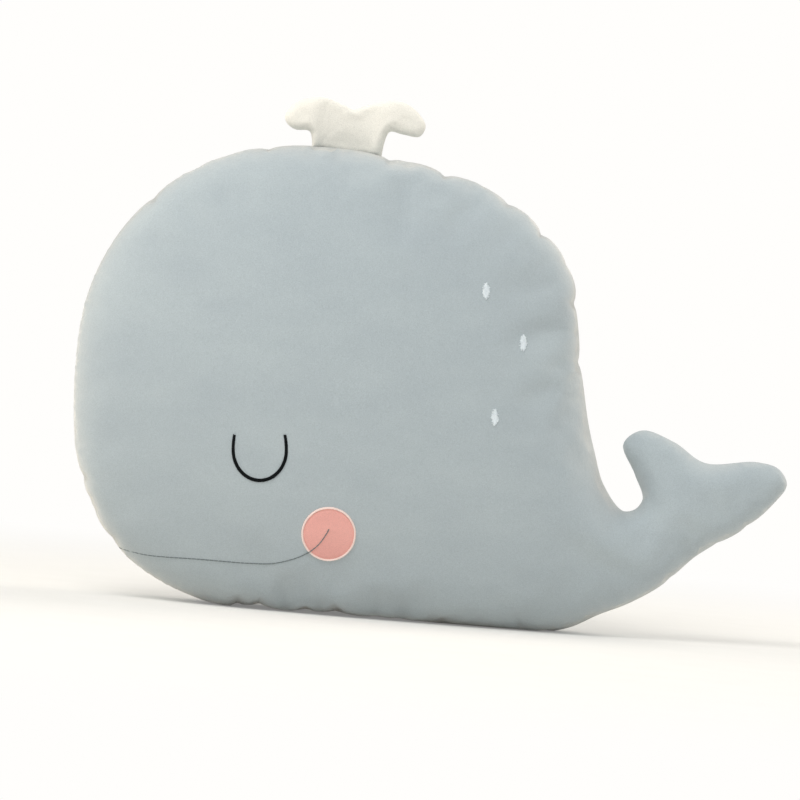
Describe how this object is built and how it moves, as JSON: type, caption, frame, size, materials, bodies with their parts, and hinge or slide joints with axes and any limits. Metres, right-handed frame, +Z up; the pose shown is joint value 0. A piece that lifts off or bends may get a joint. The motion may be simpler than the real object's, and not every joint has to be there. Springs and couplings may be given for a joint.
{
  "type": "whale plush pillow",
  "caption": "Stuffed velvet throw pillow cut in the outline of a whale, with a raised tail, a cloth spout sewn in the top seam and an embroidered sleeping face.",
  "frame": {"origin": "under the middle of the outline, on the flat the pillow sits on", "axes": "+X from nose to tail, -Y out of the embroidered face, +Z up"},
  "size_m": [0.5546, 0.165, 0.398],
  "materials": {
    "grey_velvet": "matte",
    "white_velvet": "matte",
    "pink_velvet": "matte",
    "fibre_fill": "matte",
    "grey_thread": "satin",
    "black_thread": "satin",
    "pink_thread": "satin",
    "white_thread": "satin"
  },
  "bodies": {
    "body": {"front_panel_body": "grey_velvet", "front_panel_neck": "grey_velvet", "back_panel_body": "grey_velvet", "back_panel_neck": "grey_velvet", "spout_root_tab": "white_velvet", "cheek_patch": "pink_velvet", "stuffing_body": "fibre_fill", "stuffing_neck": "fibre_fill", "seam_overlock_back": "grey_thread", "seam_overlock_belly": "grey_thread", "closing_stitches": "grey_thread", "mouth_stitching": "grey_thread", "eye_stitching": "black_thread", "cheek_border_stitching": "pink_thread", "fleck_stitching_upper": "white_thread", "fleck_stitching_middle": "white_thread", "fleck_stitching_lower": "white_thread"},
    "tail": {"front_panel_tail": "grey_velvet", "back_panel_tail": "grey_velvet", "stuffing_tail": "fibre_fill", "seam_overlock_tail": "grey_thread"},
    "spout": {"spout_front_panel": "white_velvet", "spout_back_panel": "white_velvet", "spout_stuffing": "fibre_fill"}
  },
  "joints": [
    {"name": "spout_flop", "type": "hinge", "parent": "body", "child": "spout", "pos_m": [-0.08306, 0, 0.35819], "axis": [0.9991, 0, -0.0413], "range_deg": [-40, 40], "stiffness_Nm_per_rad": 0.02},
    {"name": "tail_bend", "type": "hinge", "parent": "body", "child": "tail", "pos_m": [0.18905, 0, 0.086], "axis": [0.751, 0, -0.6603], "range_deg": [-25, 25], "stiffness_Nm_per_rad": 0.15, "deforming": ["front_panel_neck", "back_panel_neck", "stuffing_neck"]}
  ]
}
